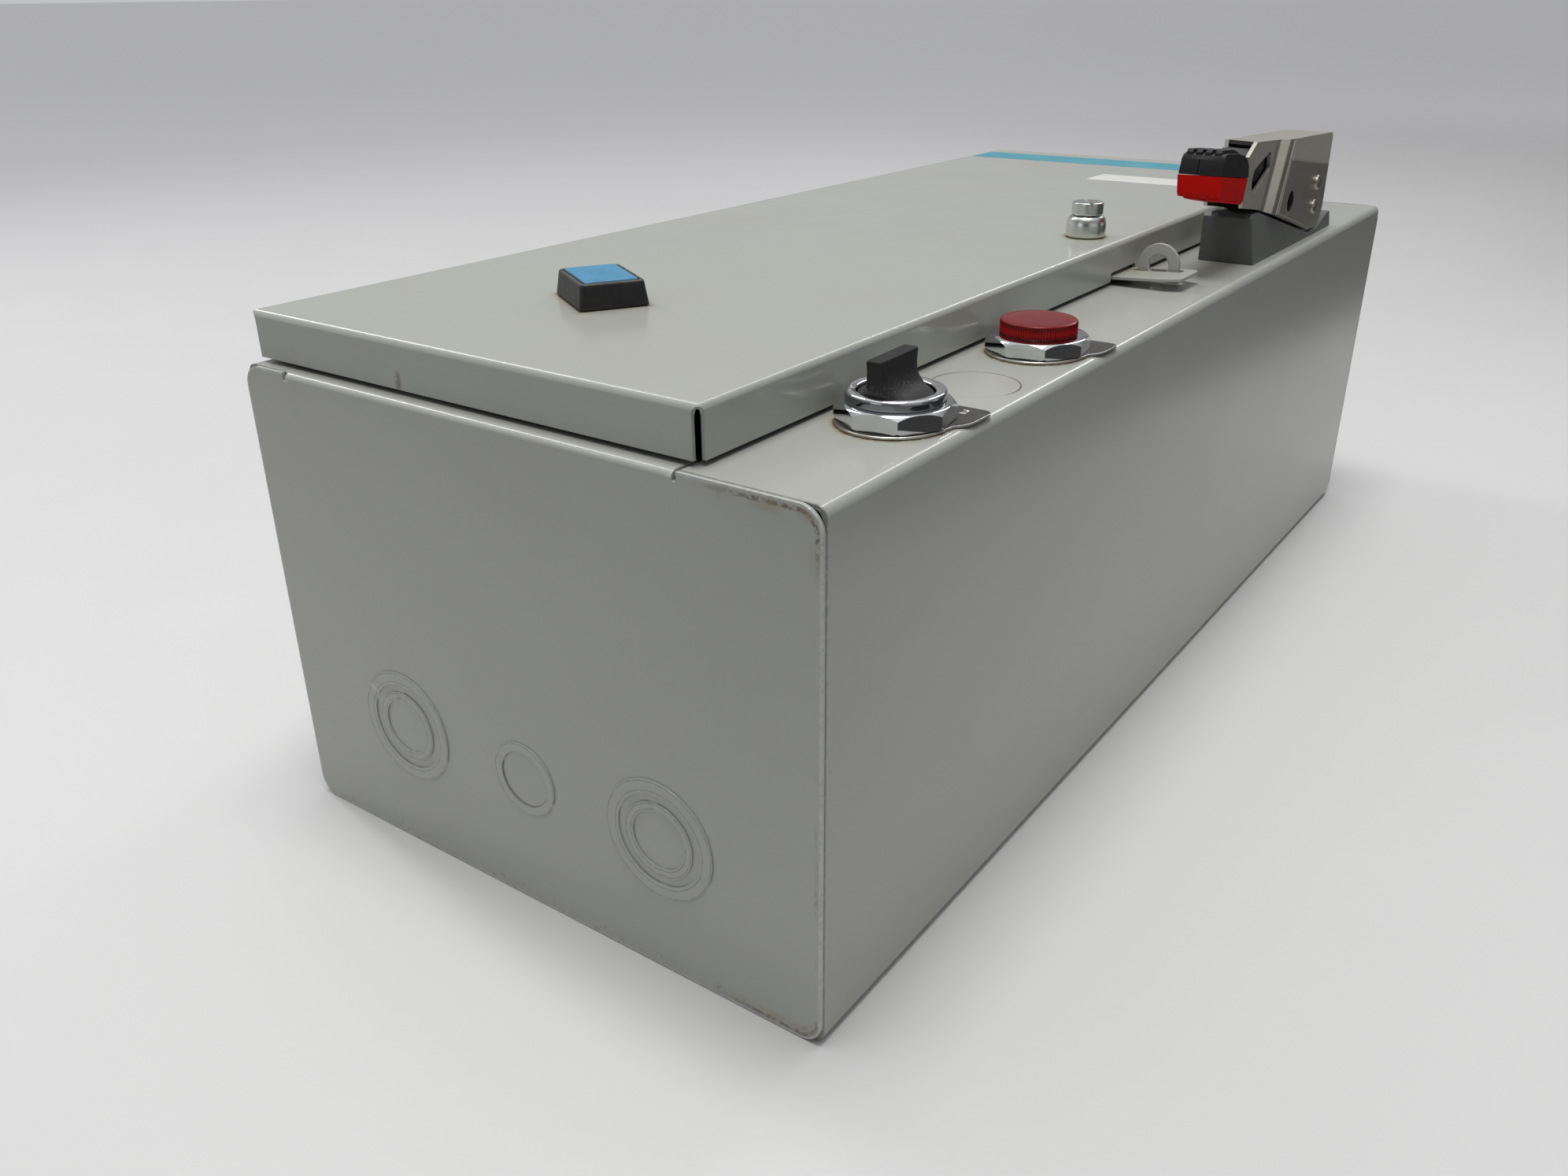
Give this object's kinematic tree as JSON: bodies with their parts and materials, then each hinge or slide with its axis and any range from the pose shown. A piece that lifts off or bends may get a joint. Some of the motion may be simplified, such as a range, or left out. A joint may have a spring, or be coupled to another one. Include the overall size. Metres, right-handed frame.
{
  "type": "enclosed disconnect switch",
  "caption": "Wall-mounted grey sheet-metal disconnect box with hinged door, flange-mounted operating handle, selector knob, pilot light, reset button and padlock hasp.",
  "frame": {"origin": "centre of the back face, the face that lies on the wall", "axes": "+Z out of the back towards the door, +Y towards the handle end (the top when it hangs on a wall), +X to the flange that carries the controls"},
  "size_m": [0.2881, 0.6604, 0.265],
  "materials": {
    "grey_enamel": "semi-gloss light grey baked enamel",
    "zinc_plate": "zinc-plated steel",
    "chrome": "polished chrome",
    "nickel_plate": "satin nickel-plated steel",
    "cast_grey": "dark grey painted casting",
    "black_plastic": "grained black plastic",
    "red_plastic": "satin red plastic",
    "red_lens": "ribbed red lens",
    "blue_plastic": "satin blue plastic",
    "legend_black": "black anodised plate with bare edges",
    "copper": "bare copper",
    "phenolic": "moulded phenolic",
    "wire_black": "black cable insulation"
  },
  "bodies": {
    "enclosure": {"body_wrap": "grey_enamel", "bottom_end_cap": "grey_enamel", "top_end_cap": "grey_enamel", "upper_hinge_body_leaf": "zinc_plate", "lower_hinge_body_leaf": "zinc_plate", "upper_hinge_pin": "zinc_plate", "lower_hinge_pin": "zinc_plate", "lock_staple": "grey_enamel", "selector_legend_plate": "legend_black", "selector_nut": "chrome", "selector_bushing": "chrome", "selector_contact_block": "phenolic", "pilot_legend_plate": "legend_black", "pilot_nut": "chrome", "pilot_lens": "red_lens", "pilot_lamp_body": "phenolic", "handle_base": "cast_grey", "mounting_pan": "zinc_plate", "pan_screw_1": "zinc_plate", "pan_screw_2": "zinc_plate", "pan_screw_3": "zinc_plate", "pan_screw_4": "zinc_plate", "switch_base": "phenolic", "line_jaw_a": "copper", "line_jaw_b": "copper", "line_jaw_c": "copper", "contactor_base": "phenolic", "overload_relay": "phenolic", "power_lead_a": "wire_black", "power_lead_b": "wire_black", "power_lead_c": "wire_black", "ground_lug": "copper"},
    "door": {"door_panel": "grey_enamel", "upper_hinge_door_leaf": "zinc_plate", "lower_hinge_door_leaf": "zinc_plate", "latch_bushing": "zinc_plate", "hasp_plate": "grey_enamel", "reset_boot": "black_plastic", "reset_guide_nut": "zinc_plate"},
    "latch": {"latch_screw": "zinc_plate", "latch_pawl": "zinc_plate", "latch_nut": "zinc_plate"},
    "reset_button": {"reset_cap": "blue_plastic", "reset_rod": "zinc_plate"},
    "selector": {"selector_knob": "black_plastic"},
    "handle": {"handle_lever": "nickel_plate", "handle_grip_black": "black_plastic", "handle_grip_red": "red_plastic", "handle_pivot_pin": "zinc_plate", "handle_screw_upper": "zinc_plate", "handle_screw_lower": "zinc_plate", "drive_crank": "zinc_plate"},
    "link": {"drive_link": "zinc_plate"},
    "crossbar": {"switch_crossbar": "phenolic", "switch_blade_a": "copper", "switch_blade_b": "copper", "switch_blade_c": "copper", "crossbar_arm": "zinc_plate"},
    "armature": {"contactor_armature": "phenolic"},
    "reset_plunger": {"overload_reset_plunger": "red_plastic"}
  },
  "joints": [
    {"name": "door_hinge", "type": "hinge", "parent": "enclosure", "child": "door", "pos_m": [-0.1442, 0, 0.206], "axis": [0, -1, 0], "range_deg": [0, 170]},
    {"name": "latch_turn", "type": "hinge", "parent": "door", "child": "latch", "pos_m": [0.0705, 0.0058, 0.2], "axis": [0, 0, 1], "range_deg": [0, 90]},
    {"name": "reset_press", "type": "slide", "parent": "door", "child": "reset_button", "axis": [0, 0, -1], "range_m": [0, 0.005], "stiffness_N_per_m": 300},
    {"name": "plunger_press", "type": "slide", "parent": "enclosure", "child": "reset_plunger", "axis": [0, 0, -1], "range_m": [0, 0.005]},
    {"name": "selector_turn", "type": "hinge", "parent": "enclosure", "child": "selector", "pos_m": [0.1142, -0.2486, 0.205], "axis": [0, 0, 1], "range_deg": [-45, 45]},
    {"name": "handle_throw", "type": "hinge", "parent": "enclosure", "child": "handle", "pos_m": [0.1174, 0.1988, 0.226], "axis": [-1, 0, 0], "range_deg": [0, 86]},
    {"name": "link_swing", "type": "hinge", "parent": "handle", "child": "link", "pos_m": [0.1174, 0.24915, 0.17737], "axis": [-1, 0, 0], "range_deg": [-86, 0]},
    {"name": "crossbar_turn", "type": "hinge", "parent": "enclosure", "child": "crossbar", "pos_m": [0.1174, 0.1988, 0.095], "axis": [-1, 0, 0], "range_deg": [0, 86]},
    {"name": "contactor_pull_in", "type": "slide", "parent": "enclosure", "child": "armature", "axis": [0, 0, -1], "range_m": [0, 0.005], "stiffness_N_per_m": 800}
  ],
  "couplings": [
    {"joint": "plunger_press", "follows": "reset_press", "ratio": 1},
    {"joint": "link_swing", "follows": "handle_throw", "ratio": -1},
    {"joint": "crossbar_turn", "follows": "handle_throw", "ratio": 1}
  ]
}
